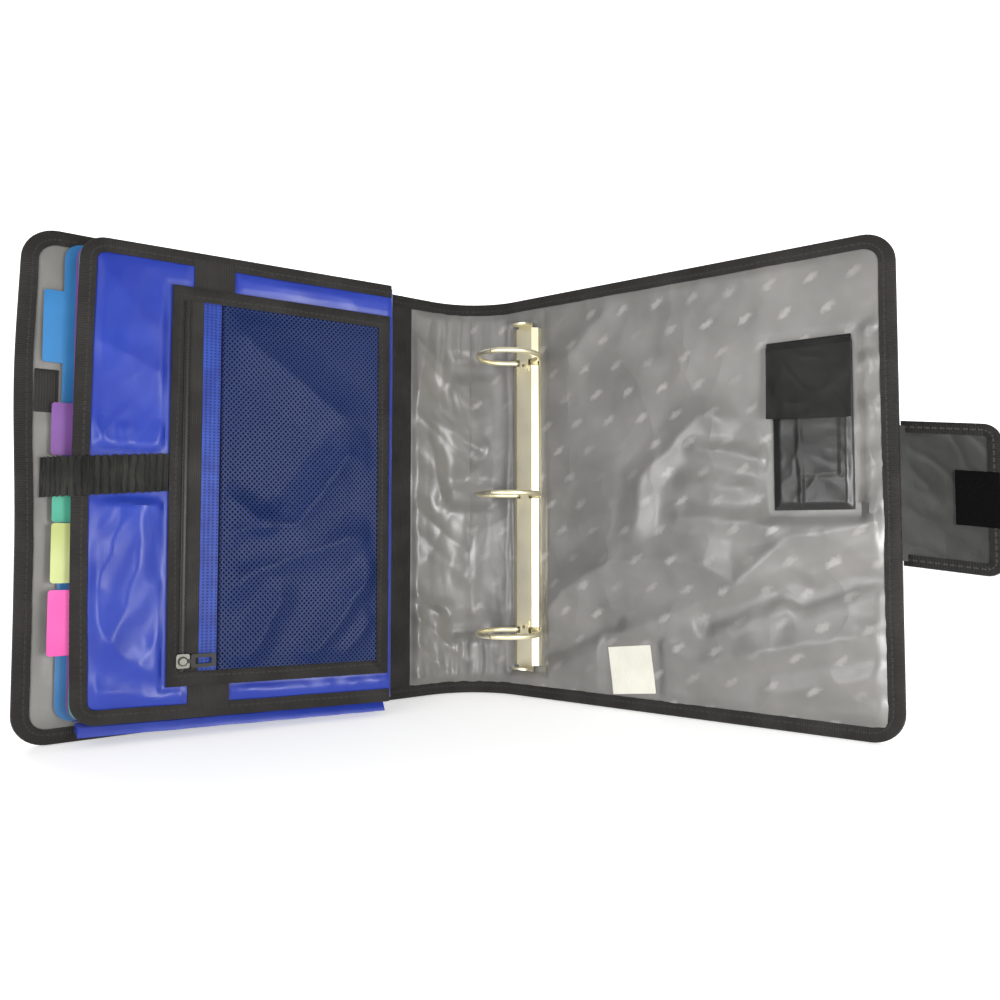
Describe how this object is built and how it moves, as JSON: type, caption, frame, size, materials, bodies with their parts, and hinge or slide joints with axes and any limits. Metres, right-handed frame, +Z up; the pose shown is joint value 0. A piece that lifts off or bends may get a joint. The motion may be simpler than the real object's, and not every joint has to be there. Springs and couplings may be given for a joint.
{
  "type": "ring binder with expanding file",
  "caption": "Cloth covered ring binder, standing open, with an expanding file and zipped mesh pouch on the front cover, ring metal on the back cover and a closing tab.",
  "frame": {"origin": "middle of the underside of the spine's lower edge tape, where the open binder stands", "axes": "+X runs from the front cover across the spine to the back cover, -Y is the side the covers open toward, +Z is up along the spine"},
  "size_m": [0.5958, 0.217, 0.325],
  "materials": {
    "blue_nylon": "satin",
    "grey_lining": "satin",
    "black_tape": "matte",
    "greyboard": "matte",
    "nickel": "polished",
    "coated_nylon": "satin",
    "label_cloth": "matte",
    "tab_lining": "satin",
    "hook_and_loop": "matte",
    "sheet_blue": "satin",
    "sheet_purple": "satin",
    "sheet_green": "satin",
    "sheet_yellow": "satin",
    "sheet_pink": "satin",
    "navy_net": "satin",
    "zip_coil": "satin",
    "black_elastic": "matte"
  },
  "bodies": {
    "spine": {"spine_outer_cloth": "blue_nylon", "spine_stiffener": "greyboard", "spine_lining": "grey_lining", "spine_tape_upper": "black_tape", "spine_tape_lower": "black_tape"},
    "back_cover": {"back_outer_cloth": "blue_nylon", "back_board": "greyboard", "back_lining": "grey_lining", "back_tape": "black_tape", "ring_housing": "nickel", "ring_rivet_lower": "nickel", "ring_rivet_upper": "nickel", "pocket_body": "coated_nylon", "pocket_flap_hem": "coated_nylon", "care_label": "label_cloth"},
    "inner_half_rings": {"half_rings_inner": "nickel"},
    "outer_half_rings": {"half_rings_outer": "nickel"},
    "upper_lever": {"ring_lever_upper": "nickel"},
    "lower_lever": {"ring_lever_lower": "nickel"},
    "flap": {"pocket_flap": "coated_nylon"},
    "tab_inner_half": {"tab_cloth_inner_half": "tab_lining", "tab_tape_upper": "black_tape", "tab_tape_lower": "black_tape"},
    "tab_outer_half": {"tab_cloth_outer_half": "tab_lining", "tab_tape_end": "black_tape", "tab_hook_patch": "hook_and_loop"},
    "front_cover": {"front_outer_cloth": "blue_nylon", "front_board": "greyboard", "front_lining": "grey_lining", "front_tape": "black_tape", "front_loop_patch": "hook_and_loop", "front_side_tab": "black_tape", "file_seam_tape": "black_tape", "file_back_panel": "blue_nylon", "file_bellows": "blue_nylon", "file_gusset": "blue_nylon", "elastic_side": "black_elastic"},
    "blue_divider": {"divider_blue": "sheet_blue"},
    "purple_divider": {"divider_purple": "sheet_purple"},
    "green_divider": {"divider_green": "sheet_green"},
    "yellow_divider": {"divider_yellow": "sheet_yellow"},
    "pink_divider": {"divider_pink": "sheet_pink"},
    "file_panel": {"file_front_panel": "blue_nylon", "file_panel_tape": "black_tape", "pouch_back": "blue_nylon", "pouch_tape": "black_tape", "pouch_net": "navy_net", "pouch_strip": "blue_nylon", "pouch_strap_upper": "black_tape", "pouch_strap_lower": "black_tape", "zip_tape_outer": "black_tape", "zip_tape_inner": "black_tape", "zip_teeth": "zip_coil", "elastic_front": "black_elastic"},
    "slider": {"zip_slider": "nickel"},
    "pull": {"zip_pull": "zip_coil"}
  },
  "joints": [
    {"name": "front_cover_hinge", "type": "hinge", "parent": "spine", "child": "front_cover", "pos_m": [-0.033, -0.0111, 0.1625], "axis": [0, 0, 1], "range_deg": [-30.3, 60.3]},
    {"name": "back_cover_hinge", "type": "hinge", "parent": "spine", "child": "back_cover", "pos_m": [0.033, -0.0111, 0.1625], "axis": [0, 0, -1], "range_deg": [-36.4, 53.6]},
    {"name": "file_press", "type": "slide", "parent": "front_cover", "child": "file_panel", "axis": [-0.5045, 0.8634, 0], "range_m": [0, 0.014], "deforming": ["file_bellows", "file_gusset", "elastic_side"]},
    {"name": "blue_divider_slide", "type": "slide", "parent": "front_cover", "child": "blue_divider", "axis": [-0.5045, 0.8634, 0], "range_m": [0, 0.00233]},
    {"name": "purple_divider_slide", "type": "slide", "parent": "front_cover", "child": "purple_divider", "axis": [-0.5045, 0.8634, 0], "range_m": [0, 0.00467]},
    {"name": "green_divider_slide", "type": "slide", "parent": "front_cover", "child": "green_divider", "axis": [-0.5045, 0.8634, 0], "range_m": [0, 0.007]},
    {"name": "yellow_divider_slide", "type": "slide", "parent": "front_cover", "child": "yellow_divider", "axis": [-0.5045, 0.8634, 0], "range_m": [0, 0.00933]},
    {"name": "pink_divider_slide", "type": "slide", "parent": "front_cover", "child": "pink_divider", "axis": [-0.5045, 0.8634, 0], "range_m": [0, 0.01167]},
    {"name": "zip_slide", "type": "slide", "parent": "file_panel", "child": "slider", "axis": [0, 0, 1], "range_m": [0, 0.222]},
    {"name": "zip_pull_swing", "type": "hinge", "parent": "slider", "child": "pull", "pos_m": [-0.18458, -0.14269, 0.05039], "axis": [-0.3984, 0.9172, 0], "range_deg": [-88, 88]},
    {"name": "ring_open_inner", "type": "hinge", "parent": "back_cover", "child": "inner_half_rings", "pos_m": [0.03809, -0.01684, 0.1625], "axis": [0, 0, 1], "range_deg": [-14, 0]},
    {"name": "ring_open_outer", "type": "hinge", "parent": "back_cover", "child": "outer_half_rings", "pos_m": [0.05547, -0.02966, 0.1625], "axis": [0, 0, 1], "range_deg": [0, 14]},
    {"name": "lever_turn_upper", "type": "hinge", "parent": "back_cover", "child": "upper_lever", "pos_m": [0.045, -0.02566, 0.2965], "axis": [0.8049, -0.5934, 0], "range_deg": [-29, 0]},
    {"name": "lever_turn_lower", "type": "hinge", "parent": "back_cover", "child": "lower_lever", "pos_m": [0.045, -0.02566, 0.0285], "axis": [-0.8049, 0.5934, 0], "range_deg": [-29, 0]},
    {"name": "pocket_flap_lift", "type": "hinge", "parent": "back_cover", "child": "flap", "pos_m": [0.22005, -0.15509, 0.2579], "axis": [0.8049, -0.5934, 0], "range_deg": [-160, 0]},
    {"name": "tab_bend", "type": "hinge", "parent": "back_cover", "child": "tab_inner_half", "pos_m": [0.26768, -0.18114, 0.157], "axis": [0, 0, -1], "range_deg": [-90, 90]},
    {"name": "tab_fold", "type": "hinge", "parent": "tab_inner_half", "child": "tab_outer_half", "pos_m": [0.28791, -0.19854, 0.153], "axis": [0, 0, -1], "range_deg": [0, 80.15]}
  ],
  "couplings": [
    {"joint": "blue_divider_slide", "follows": "file_press", "ratio": 0.16667},
    {"joint": "purple_divider_slide", "follows": "file_press", "ratio": 0.33333},
    {"joint": "green_divider_slide", "follows": "file_press", "ratio": 0.5},
    {"joint": "yellow_divider_slide", "follows": "file_press", "ratio": 0.66667},
    {"joint": "pink_divider_slide", "follows": "file_press", "ratio": 0.83333},
    {"joint": "ring_open_outer", "follows": "ring_open_inner", "ratio": -1},
    {"joint": "lever_turn_upper", "follows": "ring_open_inner", "ratio": 2},
    {"joint": "lever_turn_lower", "follows": "ring_open_inner", "ratio": 2}
  ]
}
